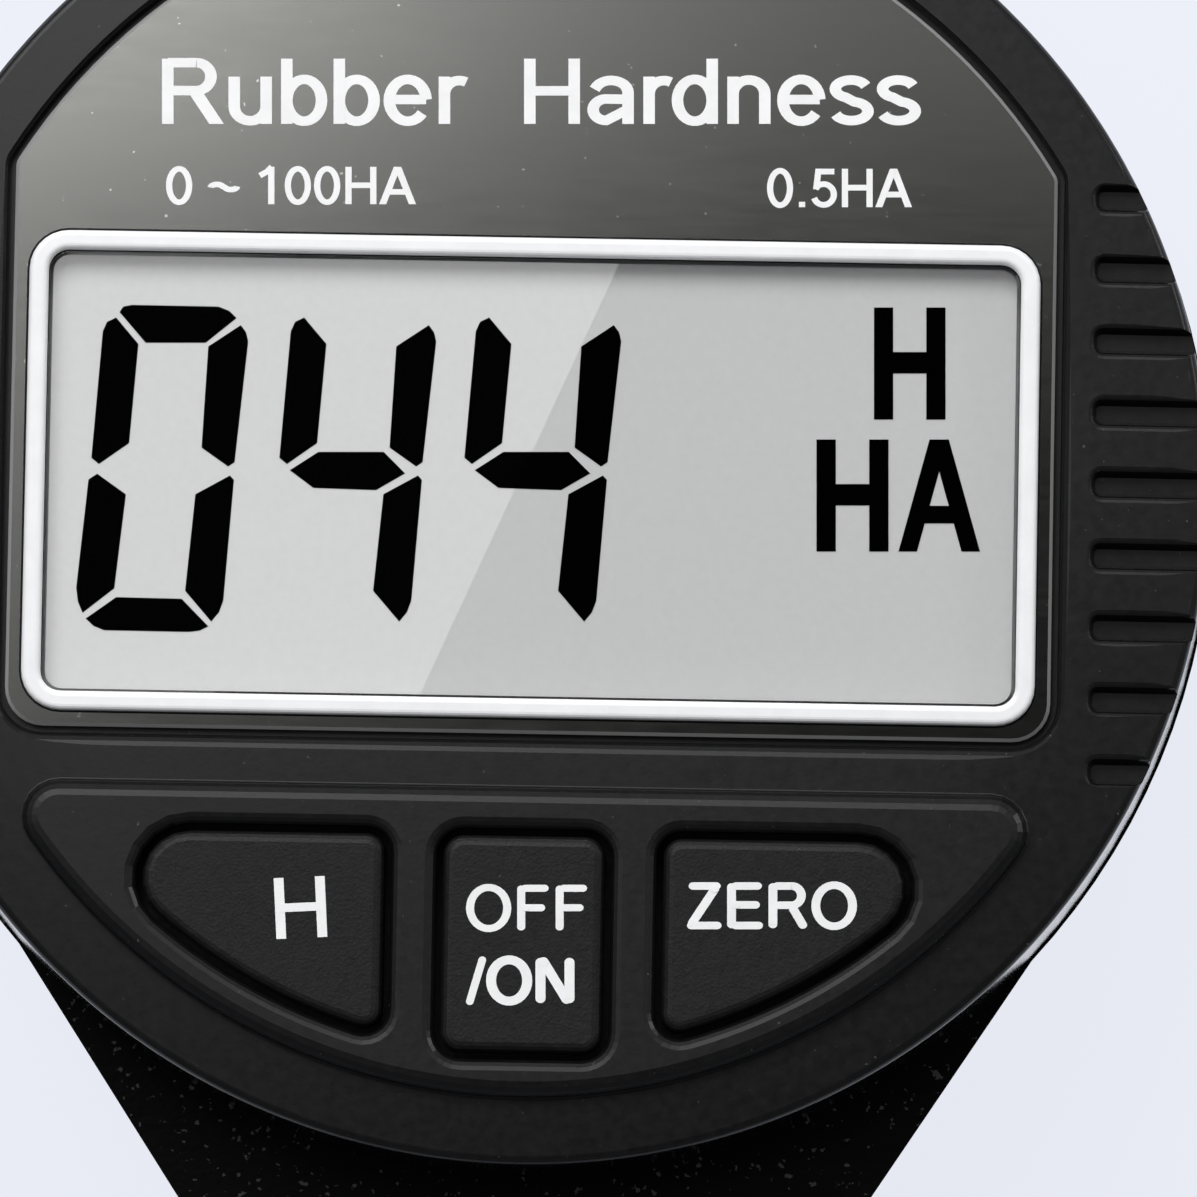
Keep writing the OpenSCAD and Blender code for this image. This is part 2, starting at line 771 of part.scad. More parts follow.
module rear_case() {
    color([0.1, 0.1, 0.11])
        difference() {
            union() {
                difference() {
                    translate([0, 0, cover_t])
                        linear_extrude(case_t)
                            case_shape(0);
                    translate([0, 0, cover_t - cut])
                        cylinder(r = cavity_r, h = case_t + 2 * cut);
                }
                intersection() {
                    union() {
                        box(-case_r, case_r, bar_y0, bar_y1, axis_z - bar_t / 2, axis_z + bar_t / 2);
                        for (p = posts)
                            translate([p.x, p.y, cover_t])
                                cylinder(r = post_r, h = case_t);
                    }
                    translate([0, 0, cover_t])
                        cylinder(r = cavity_r + eps, h = case_t);
                }
            }
            for (p = posts)
                translate([p.x, p.y, cover_t - cut])
                    cylinder(r = case_screw_d / 2 + screw_gap, h = case_t + 2 * cut);
            rod(spigot_d / 2 + fix_fit, neck_y - cut, bush_y0);
            rod(bush_d / 2 + fix_fit, bush_y0 - cut, bush_y1);
            rod(bush_d / 2 + fix_fit, bar_y0 - cut, bar_y1 + cut);
            translate([guide_x, bar_y1 - guide_grip, axis_z])
                rotate([-90, 0, 0])
                    cylinder(r = guide_d / 2 + fix_fit, h = guide_grip + cut);
            translate([0, neck_y + foot_screw_y, cover_t - cut])
                cylinder(r = foot_screw_d / 2 + fix_fit, h = case_t / 2 + cut);
        }
}

module cap_sector(r, angle, z0, z1) {
    for (a = [0, 180])
        rotate([0, 0, a - angle / 2])
            rotate_extrude(angle = angle)
                translate([0, z0])
                    square([r, z1 - z0]);
}

module rear_cover() {
    color([0.1, 0.1, 0.11])
        difference() {
            union() {
                linear_extrude(cover_t)
                    case_shape(cover_inset);
                translate([0, cell_y, cover_t - eps])
                    cylinder(r = tray_r + tray_wall, h = cell_z1 - cell_proud - cover_t);
            }
            translate([0, cell_y, cover_t - cut])
                cylinder(r = tray_r, h = cell_t + 2 * cut);
            translate([0, cell_y, -cut])
                cylinder(r = cap_hole_r, h = cover_t + cut);
            translate([0, cell_y, lug_rim])
                cylinder(r = lug_r + lug_gap, h = cap_z1 - lug_rim);
            translate([0, cell_y, 0])
                rotate([0, 0, cap_turn])
                    cap_sector(lug_r + lug_gap, lug_angle + notch_gap, -cut, lug_rim + eps);
            for (p = posts)
                translate([p.x, p.y, -cut]) {
                    cylinder(r = case_screw_d / 2 + screw_gap, h = cover_t + 2 * cut);
                    cylinder(r = case_head_d / 2 + screw_gap, h = cut + cover_t / 2);
                }
        }
}

module case_screw() {
    slot = case_head_d / 2 + driver_w / 2;
    difference() {
        translate([0, 0, head_sink]) {
            cylinder(r = case_head_d / 2, h = cover_t / 2 - head_sink);
            cylinder(r = case_screw_d / 2, h = part_z + case_screw_in - head_sink);
        }
        for (a = [0, 90])
            rotate([0, 0, a])
                cube([slot, driver_w, cover_t / 2 + driver_w], center = true);
    }
}

module case_screws() {
    color([0.5, 0.5, 0.52])
        for (p = posts)
            translate([p.x, p.y, 0])
                case_screw();
}

module faceplate() {
    top = floor_z + plate_t;
    color([0.4, 0.4, 0.4])
        difference() {
            loft([
                at_z(pocket_line(-plate_gap), floor_z),
                at_z(pocket_line(-plate_gap), top - plate_edge),
                at_z(pocket_line(-plate_gap - plate_edge), top)
            ]);
            translate([0, 0, floor_z - cut])
                linear_extrude(plate_t + 2 * cut)
                    window_shape(frame_w + frame_gap);
        }
}

module window_frame() {
    high = floor_z + plate_t + frame_proud;
    low = high - frame_round;
    outs = [
        for (k = [0:lip_n])
            let (a = 90 * k / lip_n)
            at_z(window_line(frame_w - frame_round * (1 - cos(a))), low + frame_round * sin(a))
    ];
    ins = [
        for (k = [0:lip_n])
            let (a = 90 * k / lip_n)
            at_z(window_line(frame_round * (1 - cos(a))), low + frame_round * sin(a))
    ];
    color([0.92, 0.92, 0.92])
        difference() {
            loft(concat([at_z(window_line(frame_w), floor_z)], outs));
            loft(concat(
                [at_z(window_line(0), floor_z - cut)],
                ins,
                [at_z(window_line(frame_round), high + cut)]
            ));
            translate([0, 0, floor_z - cut])
                linear_extrude(lens_t + cut)
                    window_shape(frame_lip + lens_gap);
        }
}

module window_lens() {
    color([0.8, 0.85, 0.85, 0.4])
        translate([0, 0, floor_z])
            linear_extrude(lens_t)
                window_shape(frame_lip);
}

module lcd_panel() {
    color([0.75, 0.76, 0.74]) {
        translate([0, 0, lcd_z])
            linear_extrude(lcd_t)
                window_shape(lcd_border);
        translate([0, 0, ceil_z - eps])
            linear_extrude(pocket_floor - lcd_clear + eps)
                window_shape(-lcd_gap);
    }
}

module lcd_carrier() {
    color([0.2, 0.2, 0.2])
        translate([0, 0, board_z1])
            linear_extrude(carrier_h)
                difference() {
                    window_shape(lcd_border);
                    window_shape(lcd_border - carrier_wall);
                }
}

module zebra_strips() {
    edge = window_h / 2 + lcd_border - carrier_wall;
    color([0.3, 0.3, 0.32])
        for (y = [window_y - edge, window_y + edge - strip_w])
            box(-strip_len / 2, strip_len / 2, y, y + strip_w, board_z1, lcd_z);
}

module main_board() {
    color([0.1, 0.35, 0.2])
        difference() {
            translate([0, 0, board_z0])
                cylinder(r = front_in_r - board_gap, h = board_t);
            for (p = posts)
                translate([p.x, p.y, board_z0 - cut])
                    cylinder(r = post_r + board_gap, h = board_t + 2 * cut);
            for (p = bosses)
                translate([p.x, p.y, board_z0 - cut])
                    cylinder(r = board_screw_d / 2 + screw_gap, h = board_t + 2 * cut);
        }
}

module board_screws() {
    color([0.6, 0.6, 0.6])
        for (p = bosses)
            translate([p.x, p.y, board_z0 - board_head_t])
                difference() {
                    union() {
                        cylinder(r = board_head_d / 2, h = board_head_t);
                        cylinder(r = board_screw_d / 2, h = board_head_t + board_t + board_screw_in);
                    }
                    cube([board_head_d - driver_w, driver_w, board_head_t], center = true);
                }
}

module controller_chip() {
    color([0.08, 0.08, 0.08])
        box(-chip_w / 2, chip_w / 2, window_y - chip_w / 2, window_y + chip_w / 2,
            board_z1, board_z1 + chip_t);
}

module switch_body(p) {
    well_z = plunger_z - plunger_out - plunger_in - key_travel - plunger_room;
    difference() {
        translate([p.x - switch_w / 2, p.y - switch_w / 2, board_z1])
            cube([switch_w, switch_w, switch_h]);
        translate([p.x, p.y, well_z])
            cylinder(r = plunger_d / 2 + plunger_gap, h = switch_h);
    }
}

module switch_bodies() {
    color([0.15, 0.15, 0.15]) {
        switch_body([-side_switch.x, side_switch.y]);
        switch_body(power_switch);
        switch_body(side_switch);
    }
}

module plunger(p) {
    low = plunger_z - plunger_out - plunger_in;
    color([0.85, 0.85, 0.8])
        translate([p.x, p.y, low])
            cylinder(r = plunger_d / 2, h = plunger_z - low);
}

module hold_plunger() {
    plunger([-side_switch.x, side_switch.y]);
}

module power_plunger() {
    plunger(power_switch);
}

module zero_plunger() {
    plunger(side_switch);
}

module key_body(kind) {
    side = kind == "side";
    p = side ? side_switch : power_switch;
    low = key_z - key_round;
    line = side ? side_line(0) : power_line(0);
    tops = [
        for (k = [1:lip_n])
            let (a = 90 * k / lip_n, d = -key_round * (1 - cos(a)))
            at_z(side ? side_line(d) : power_line(d), low + key_round * sin(a))
    ];
    loft(concat([at_z(line, flange_z + flange_t / 2), at_z(line, low)], tops));
    translate([0, 0, flange_z])
        linear_extrude(flange_t)
            polygon(side ? side_line(flange_w) : power_line(flange_w));
    translate([p.x, p.y, plunger_z])
        cylinder(r = stem_d / 2, h = flange_z - plunger_z + eps);
}

module hold_key() {
    color([0.16, 0.16, 0.17])
        mirror([1, 0, 0])
            key_body("side");
}

module power_key() {
    color([0.16, 0.16, 0.17])
        key_body("power");
}

module zero_key() {
    color([0.16, 0.16, 0.17])
        key_body("side");
}

module battery_cap() {
    color([0.12, 0.12, 0.13])
        translate([0, cell_y, 0])
            difference() {
                union() {
                    translate([0, 0, cap_sink])
                        cylinder(r = cap_r, h = cap_t);
                    cap_sector(lug_r, lug_angle, lug_z0, lug_z0 + lug_t);
                }
                translate([-slot_len / 2, -slot_w / 2, cap_sink - cut])
                    cube([slot_len, slot_w, cut + slot_depth]);
            }
}

module cap_gasket() {
    color([0.05, 0.05, 0.05])
        translate([0, cell_y, cap_z1])
            ring(cap_r - gasket_gap, tray_r + gasket_gap, cover_t - cap_z1);
}

module coin_cell() {
    color([0.75, 0.76, 0.78])
        translate([0, cell_y, cell_z0])
            cylinder(r = cell_r, h = cell_t);
}

module positive_contact() {
    r = cell_r + (cell_gap - contact_t) / 2;
    color([0.8, 0.65, 0.35])
        translate([0, cell_y, 0])
            rotate([0, 0, contact_angle])
                box(-contact_w / 2, contact_w / 2, -r - contact_t, -r, cover_t + contact_gap,
                    board_z0);
}

module negative_contact() {
    r = tray_r + tray_wall + contact_gap;
    color([0.8, 0.65, 0.35])
        translate([0, cell_y, 0])
            rotate([0, 0, -contact_angle]) {
                box(-contact_w / 2, contact_w / 2, -r - contact_t, -r, cell_z1, board_z0);
                box(-contact_w / 2, contact_w / 2, -r - eps, -contact_reach,
                    cell_z1, cell_z1 + contact_t);
            }
}

module presser_foot() {
    r = foot_d / 2;
    color([0.75, 0.76, 0.78])
        difference() {
            translate([0, neck_y, axis_z])
                rotate([90, 0, 0])
                    rotate_extrude()
                        polygon([
                            [0, -spigot_len], [spigot_d / 2, -spigot_len], [spigot_d / 2, 0],
                            [r - foot_bevel, 0], [r, foot_bevel], [r, foot_h - foot_bevel],
                            [r - foot_bevel, foot_h], [0, foot_h]
                        ]);
            rod(foot_bore_d / 2, foot_y + foot_floor, bush_y0 + cut);
            rod(foot_hole_d / 2, foot_y - cut, foot_y + foot_floor + cut);
        }
}

module foot_screw() {
    tip = axis_z - spigot_d / 2;
    color([0.3, 0.3, 0.32])
        translate([0, neck_y + foot_screw_y, tip])
            mirror([0, 0, 1])
                set_screw(foot_screw_d, tip - cover_t - set_sink);
}

module lower_bush() {
    color([0.72, 0.55, 0.3])
        tube(bush_d / 2, spindle_d / 2 + run_fit, bush_y0, bush_y1);
}

module spring_adjuster() {
    color([0.72, 0.55, 0.3])
        tube(bush_d / 2, spindle_d / 2 + run_fit, adjuster_y0, nut_y1);
}

module adjuster_nut() {
    color([0.72, 0.55, 0.3])
        difference() {
            translate([0, bar_y1, axis_z])
                rotate([-90, 30, 0])
                    cylinder(r = nut_af / 2 / cos(30), h = nut_t, $fn = 6);
            rod(bush_d / 2 + fix_fit, bar_y1 - cut, nut_y1 + cut);
        }
}

// One ring of the spring's wire, square to the helix, at angle t
function wire_ring(t, y, lean) = [
    for (k = [0:7])
        let (
            a = 45 * k,
            u = coil_d / 2 + wire_d / 2 * cos(a),
            w = wire_d / 2 * sin(a)
        )
        [
            u * cos(t) - w * sin(lean) * sin(t),
            y + w * cos(lean),
            axis_z - u * sin(t) - w * sin(lean) * cos(t)
        ]
];

module main_spring() {
    n = coil_turns * 16;
    y0 = collar_y1 + wire_d / 2 + eps;
    y1 = adjuster_y0 - wire_d / 2 - eps;
    lean = -atan((y1 - y0) / (coil_turns * PI * coil_d));
    color([0.6, 0.6, 0.62])
        loft([for (i = [0:n]) wire_ring(360 * coil_turns * i / n, y0 + (y1 - y0) * i / n, lean)]);
}

module spindle() {
    color([0.78, 0.79, 0.8])
        difference() {
            rod(spindle_d / 2, spindle_y0, spindle_y1);
            rod(indenter_d / 2 + fix_fit, spindle_y0 - cut, spindle_y0 + indenter_grip);
        }
}

module indenter() {
    tip_y = foot_y - indenter_out;
    cone_h = (indenter_d - tip_flat_d) / 2 / tan(tip_angle / 2);
    color([0.8, 0.81, 0.82])
        translate([0, tip_y, axis_z])
            rotate([-90, 0, 0])
                rotate_extrude()
                    polygon([
                        [0, 0], [tip_flat_d / 2, 0], [indenter_d / 2, cone_h],
                        [indenter_d / 2, spindle_y0 + indenter_grip - tip_y],
                        [0, spindle_y0 + indenter_grip - tip_y]
                    ]);
}

module spring_collar() {
    color([0.72, 0.55, 0.3])
        difference() {
            tube(collar_d / 2, spindle_d / 2 + fix_fit, bush_y1, collar_y1);
            translate([0, (bush_y1 + collar_y1) / 2, axis_z])
                cylinder(r = set_screw_d / 2 + fix_fit, h = collar_d);
        }
}

module collar_screw() {
    color([0.3, 0.3, 0.32])
        translate([0, (bush_y1 + collar_y1) / 2, axis_z + spindle_d / 2 + fix_fit])
            set_screw(set_screw_d, (collar_d - spindle_d) / 2 - set_sink);
}

module scale_carrier() {
    color([0.8, 0.8, 0.78])
        difference() {
            union() {
                box(-sensor_w / 2, sensor_w / 2, sensor_y0, sensor_y1, axis_z - sensor_back, grid_z0);
                box(0, guide_x + arm_end, sensor_y0, sensor_y1, axis_z - arm_t / 2, axis_z + arm_t / 2);
            }
            rod(spindle_d / 2 + fix_fit, sensor_y0 - cut, sensor_y1 + cut);
            translate([guide_x, sensor_y0 - cut, axis_z])
                rotate([-90, 0, 0])
                    cylinder(r = guide_d / 2 + run_fit, h = sensor_h + 2 * cut);
            translate([0, (sensor_y0 + sensor_y1) / 2, axis_z - sensor_back - cut])
                cylinder(r = set_screw_d / 2 + fix_fit, h = sensor_back + cut);
        }
}

module carrier_screw() {
    tip = axis_z - spindle_d / 2 - fix_fit;
    color([0.3, 0.3, 0.32])
        translate([0, (sensor_y0 + sensor_y1) / 2, tip])
            mirror([0, 0, 1])
                set_screw(set_screw_d, sensor_back - spindle_d / 2 - set_sink);
}

module grid_plate() {
    color([0.1, 0.35, 0.2])
        box(-sensor_w / 2, sensor_w / 2, sensor_y1 - grid_h, sensor_y1, grid_z0, grid_z1);
}

module guide_pin() {
    y0 = bar_y1 - guide_grip;
    color([0.78, 0.79, 0.8])
        translate([guide_x, y0, axis_z])
            rotate([-90, 0, 0])
                cylinder(r = guide_d / 2, h = sensor_y1 + stroke + guide_past - y0);
}

front_housing();
rear_case();
rear_cover();
case_screws();
faceplate();
window_frame();
window_lens();
lcd_panel();
lcd_carrier();
zebra_strips();
main_board();
board_screws();
controller_chip();
switch_bodies();
hold_plunger();
power_plunger();
zero_plunger();
hold_key();
power_key();
zero_key();
battery_cap();
cap_gasket();
coin_cell();
positive_contact();
negative_contact();
presser_foot();
foot_screw();
lower_bush();
spring_adjuster();
adjuster_nut();
main_spring();
spindle();
indenter();
spring_collar();
collar_screw();
scale_carrier();
carrier_screw();
grid_plate();
guide_pin();
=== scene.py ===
"""Looks of the digital durometer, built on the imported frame."""

import json
import math

import bmesh
import bpy
from mathutils import Matrix, Vector


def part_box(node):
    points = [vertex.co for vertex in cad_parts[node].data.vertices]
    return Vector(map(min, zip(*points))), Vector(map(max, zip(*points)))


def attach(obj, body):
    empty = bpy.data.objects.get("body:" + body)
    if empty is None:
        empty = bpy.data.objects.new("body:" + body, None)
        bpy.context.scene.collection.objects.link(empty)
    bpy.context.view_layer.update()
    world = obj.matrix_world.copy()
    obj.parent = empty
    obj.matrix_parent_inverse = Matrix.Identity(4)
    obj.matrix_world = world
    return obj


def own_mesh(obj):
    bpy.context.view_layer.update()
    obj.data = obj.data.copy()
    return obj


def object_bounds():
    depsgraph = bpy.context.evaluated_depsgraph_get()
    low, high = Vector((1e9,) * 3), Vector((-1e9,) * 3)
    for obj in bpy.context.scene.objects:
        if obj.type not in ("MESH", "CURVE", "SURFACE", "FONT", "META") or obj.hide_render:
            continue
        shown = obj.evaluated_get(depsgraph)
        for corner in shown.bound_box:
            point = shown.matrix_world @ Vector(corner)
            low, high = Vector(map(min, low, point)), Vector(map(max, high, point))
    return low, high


MM = 0.001
TINY = 1e-6

# The photo's size and its middle in pixels
IMAGE_PX = 1197
IMAGE_MID = IMAGE_PX / 2

# The camera's place and the point it looks at in millimetres, its roll, and its focal length in
# the photo's pixels
EYE = Vector((6.5, -30.0, 427.3))
AIM = Vector((3.07, -4.92, 27.3))
ROLL = math.radians(1.01)
FOCAL_PX = 9070.0
SENSOR_MM = 36.0
CLIP_START = 0.01

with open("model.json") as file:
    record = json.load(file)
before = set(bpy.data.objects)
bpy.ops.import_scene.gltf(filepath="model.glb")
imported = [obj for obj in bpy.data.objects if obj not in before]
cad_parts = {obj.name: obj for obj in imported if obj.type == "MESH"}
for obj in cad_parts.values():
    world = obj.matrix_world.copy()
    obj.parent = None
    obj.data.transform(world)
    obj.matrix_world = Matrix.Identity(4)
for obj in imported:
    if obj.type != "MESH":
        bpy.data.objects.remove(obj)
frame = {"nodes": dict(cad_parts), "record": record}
cad_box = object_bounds()
nodes = frame["nodes"]


# Places in the photo to millimetres on the part

def camera_axes():
    """Right, up and ahead of the camera."""
    ahead = (AIM - EYE).normalized()
    right = ahead.cross(Vector((-math.sin(ROLL), math.cos(ROLL), 0))).normalized()
    return right, right.cross(ahead), ahead


def part_xy(u, v, z):
    """Millimetres at height z for a place in the photograph."""
    right, up, ahead = camera_axes()
    ray = ahead + (right * (u - IMAGE_MID) - up * (v - IMAGE_MID)) / FOCAL_PX
    spot = EYE + ray * ((z - EYE.z) / ray.z)
    return (spot.x, spot.y)


def top_of(node):
    """A node's highest place in millimetres."""
    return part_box(node)[1][2] / MM


# Materials

NOISE_DETAIL = 4.0
NOISE_ROUGH = 0.55
# Noise levels between which a finish goes from dark to light, how far its roughness goes with
# them, and how much finer its grain is
MOTTLE = (0.3, 0.7)
ROUGH_VARY = 0.1
GRAIN = 2.2
SPECK_DETAIL = 2.0
SPECK_EDGE = 0.03
# z of the normals between which lips and chamfers turn into flat faces, and walls into lips
LIP = (0.8, 0.95)
WALL = (0.15, 0.35)
LIP_ROUGHNESS = 0.24
WALL_ROUGHNESS = 0.08
# Radii in metres of the case's ledge under the front housing, where a painted highlight band lies,
# and the soft edge of that band
LEDGE = (0.0304, 0.03056)
LEDGE_EDGE = 1e-5
# Grey of the painted highlight on the case's ledge and on the faceplate's chamfer
PAINTED_HIGHLIGHT_GREY = 0.3


def grey(v):
    return (v, v, v)


# Arguments of plain() by finish; specks are noise scale, threshold and grey
FINISHES = {
    "front_black": dict(color=(0.0042, 0.0042, 0.0045), roughness=0.36, vary=0.25, scale=2000,
                        bumps=0.15, depth=3e-5, specks=(3500, 0.74, 0.06),
                        Specular_IOR_Level=0.3),
    "key_black": dict(color=(0.007, 0.007, 0.0075), roughness=0.45, vary=0.3, scale=3200,
                      bumps=0.6, depth=3e-5, specks=(3500, 0.75, 0.05), Specular_IOR_Level=0.22),
    "case_black": dict(color=grey(0.0015), roughness=0.5, scale=900, bumps=0.35, depth=1e-4,
                       specks=(2600, 0.65, 0.06), Specular_IOR_Level=0.05),
    "screw_steel": dict(color=(0.4, 0.4, 0.41), roughness=0.35, metallic=1.0),
    "plate_grey": dict(color=(0.09, 0.09, 0.086), roughness=0.17, metallic=1.0, vary=0.02,
                       scale=420, bumps=0.001, depth=1e-5, stretch=(1, 6, 1),
                       specks=(2600, 0.735, 0.25)),
    "frame_white": dict(color=(0.84, 0.84, 0.85), roughness=0.4, vary=0.03),
    "lcd_grey": dict(color=(0.77, 0.77, 0.768), roughness=0.7, vary=0.02, scale=2500, bumps=0.0,
                     Specular_IOR_Level=0.0, Coat_Weight=1.0, Coat_IOR=4.0, Coat_Roughness=0.0),
    "inner_black": dict(color=grey(0.03), roughness=0.5),
    "strip_rubber": dict(color=grey(0.03), roughness=0.7),
    "board_green": dict(color=(0.03, 0.16, 0.07), roughness=0.45),
    "plunger_cream": dict(color=(0.7, 0.68, 0.6), roughness=0.5),
    "cap_black": dict(color=(0.02, 0.02, 0.021), roughness=0.45, bumps=0.15),
    "cell_steel": dict(color=grey(0.6), roughness=0.25, metallic=1.0),
    "contact_brass": dict(color=(0.7, 0.5, 0.2), roughness=0.3, metallic=1.0),
    "foot_steel": dict(color=(0.55, 0.55, 0.56), roughness=0.28, metallic=1.0, vary=0.06,
                       scale=300, bumps=0.08, depth=1e-5, stretch=(1, 20, 1)),
    "bush_brass": dict(color=(0.66, 0.47, 0.2), roughness=0.3, metallic=1.0),
    "spindle_steel": dict(color=(0.58, 0.58, 0.6), roughness=0.22, metallic=1.0),
    "carrier_alloy": dict(color=grey(0.7), roughness=0.35, metallic=1.0),
    "ink_black": dict(color=grey(0.0004), roughness=0.9, vary=0.1, bumps=0.0,
                      Specular_IOR_Level=0.0),
    "print_white": dict(color=grey(0.85), roughness=0.6, vary=0.04, bumps=0.0),
}


def new_material(name):
    """A new material with its node tree and its shader."""
    mat = bpy.data.materials.new(name)
    mat.use_nodes = True
    tree = mat.node_tree
    return mat, tree, tree.nodes["Principled BSDF"]


def set_inputs(bsdf, **values):
    """Set the shader's inputs by their names, with _ for a space."""
    for key, value in values.items():
        bsdf.inputs[key.replace("_", " ")].default_value = value


def feed(tree, socket, value):
    """Link an output to a socket, or set the socket to a value."""
    if isinstance(value, bpy.types.NodeSocket):
        tree.links.new(value, socket)
    else:
        socket.default_value = value


def noise(tree, scale, detail=NOISE_DETAIL, stretch=None):
    """Noise over a piece's own places, drawn out across the axes if stretch is given."""
    coord = tree.nodes.new("ShaderNodeTexCoord")
    tex = tree.nodes.new("ShaderNodeTexNoise")
    tex.inputs["Scale"].default_value = scale
    tex.inputs["Detail"].default_value = detail
    tex.inputs["Roughness"].default_value = NOISE_ROUGH
    place = coord.outputs["Object"]
    if stretch:
        mapping = tree.nodes.new("ShaderNodeMapping")
        mapping.inputs["Scale"].default_value = stretch
        tree.links.new(place, mapping.inputs["Vector"])
        place = mapping.outputs["Vector"]
    tree.links.new(place, tex.inputs["Vector"])
    return tex.outputs["Fac"]


def ramp(tree, fac, stops):
    """Colours graded along fac, by stops of level and colour."""
    node = tree.nodes.new("ShaderNodeValToRGB")
    elements = node.color_ramp.elements
    while len(elements) < len(stops):
        elements.new(0.5)
    for element, (pos, color) in zip(elements, stops):
        element.position = pos
        element.color = (*color, 1.0)
    tree.links.new(fac, node.inputs["Fac"])
    return node.outputs["Color"]


def math_node(tree, kind, *values):
    """A sum on sockets and numbers."""
    node = tree.nodes.new("ShaderNodeMath")
    node.operation = kind
    for socket, value in zip(node.inputs, values):
        feed(tree, socket, value)
    return node.outputs["Value"]


def mix_color(tree, fac, a, b, blend="MIX"):
    """Colour a blended with colour b by fac; each is a socket or a value."""
    mix = tree.nodes.new("ShaderNodeMix")
    mix.data_type = "RGBA"
    mix.blend_type = blend
    feed(tree, mix.inputs["Factor"], fac)
    feed(tree, mix.inputs["A"], a)
    feed(tree, mix.inputs["B"], b)
    return mix.outputs["Result"]


def bump(tree, bsdf, height, strength, distance):
    node = tree.nodes.new("ShaderNodeBump")
    node.inputs["Strength"].default_value = strength
    node.inputs["Distance"].default_value = distance
    tree.links.new(height, node.inputs["Height"])
    tree.links.new(node.outputs["Normal"], bsdf.inputs["Normal"])


def add_specks(tree, color, specks):
    """Sparse specks of dust over a colour."""
    scale, level, tint = specks
    spots = noise(tree, scale, SPECK_DETAIL)
    fac = ramp(tree, spots, [(level, grey(0)), (level + SPECK_EDGE, grey(1))])
    return mix_color(tree, fac, color, (*grey(tint), 1.0))


def leaning(tree, low, high):
    """1 where the z of a face's normal is under low, 0 where it is over high."""
    geometry = tree.nodes.new("ShaderNodeNewGeometry")
    split = tree.nodes.new("ShaderNodeSeparateXYZ")
    tree.links.new(geometry.outputs["Normal"], split.inputs["Vector"])
    return ramp(tree, split.outputs["Z"], [(low, grey(1)), (high, grey(0))])


def from_axis(tree):
    """Distance in metres from a piece's own z axis."""
    coord = tree.nodes.new("ShaderNodeTexCoord")
    flat = tree.nodes.new("ShaderNodeMapping")
    flat.inputs["Scale"].default_value = (1, 1, 0)
    size = tree.nodes.new("ShaderNodeVectorMath")
    size.operation = "LENGTH"
    tree.links.new(coord.outputs["Object"], flat.inputs["Vector"])
    tree.links.new(flat.outputs["Vector"], size.inputs[0])
    return size.outputs["Value"]


def ring(tree, low, high):
    """1 on the flat faces of a ring about the head's axis, between two radii in metres."""
    band = ramp(tree, from_axis(tree), [(low, grey(0)), (low + LEDGE_EDGE, grey(1)),
                                        (high, grey(1)), (high + LEDGE_EDGE, grey(0))])
    return mix_color(tree, leaning(tree, *LIP), band, (*grey(0), 1.0))


def blend_input(tree, bsdf, name, fac, value):
    """Blend an input of the shader towards a value where fac is 1."""
    socket = bsdf.inputs[name]
    if socket.links:
        before = socket.links[0].from_socket
    else:
        before = (*grey(socket.default_value), 1.0)
    tree.links.new(mix_color(tree, fac, before, (*grey(value), 1.0)), socket)


def plain(name, color, roughness, metallic=0.0, vary=0.12, scale=900.0, bumps=0.05,
          depth=2e-5, stretch=None, specks=None, **more):
    """A finish with fine mottling in its colour and roughness and a fine grain."""
    mat, tree, bsdf = new_material(name)
    set_inputs(bsdf, Metallic=metallic, **more)
    fac = noise(tree, scale, stretch=stretch)
    low, high = MOTTLE
    dark = tuple(c * (1 - vary) for c in color)
    light = tuple(min(1.0, c * (1 + vary)) for c in color)
    shade = ramp(tree, fac, [(low, dark), (high, light)])
    if specks:
        shade = add_specks(tree, shade, specks)
    tree.links.new(shade, bsdf.inputs["Base Color"])
    smooth = grey(roughness * (1 - ROUGH_VARY))
    coarse = grey(min(1, roughness * (1 + ROUGH_VARY)))
    tree.links.new(ramp(tree, fac, [(low, smooth), (high, coarse)]), bsdf.inputs["Roughness"])
    bump(tree, bsdf, noise(tree, scale * GRAIN, stretch=stretch), bumps, depth)
    return mat


def make_materials():
    """All finishes by name."""
    mats = {name: plain(name, **look) for name, look in FINISHES.items()}
    mats["lens_clear"], tree, bsdf = new_material("lens_clear")
    set_inputs(bsdf, Base_Color=(1, 1, 1, 1), Metallic=1.0, Roughness=0.02, Alpha=0.001)
    bump(tree, bsdf, noise(tree, 30.0), 0.01, 1e-5)
    # The housing's lips are smoother than its front, and its walls more so
    tree = mats["front_black"].node_tree
    bsdf = tree.nodes["Principled BSDF"]
    blend_input(tree, bsdf, "Roughness", leaning(tree, *LIP), LIP_ROUGHNESS)
    blend_input(tree, bsdf, "Roughness", leaning(tree, *WALL), WALL_ROUGHNESS)
    # Painted highlight: the case's flat ledge under the front housing gets a grey base colour in
    # place of the bright band light makes there
    tree = mats["case_black"].node_tree
    bsdf = tree.nodes["Principled BSDF"]
    blend_input(tree, bsdf, "Base Color", ring(tree, *LEDGE), PAINTED_HIGHLIGHT_GREY)
    # Painted highlight: the faceplate's chamfer gets a pale, non-metal base colour so that it shows
    # as a bright line under any lamp
    tree = mats["plate_grey"].node_tree
    bsdf = tree.nodes["Principled BSDF"]
    chamfer_highlight_mask = leaning(tree, *LIP)
    blend_input(tree, bsdf, "Base Color", chamfer_highlight_mask, PAINTED_HIGHLIGHT_GREY)
    blend_input(tree, bsdf, "Metallic", chamfer_highlight_mask, 0.0)
    return mats


MATS = make_materials()


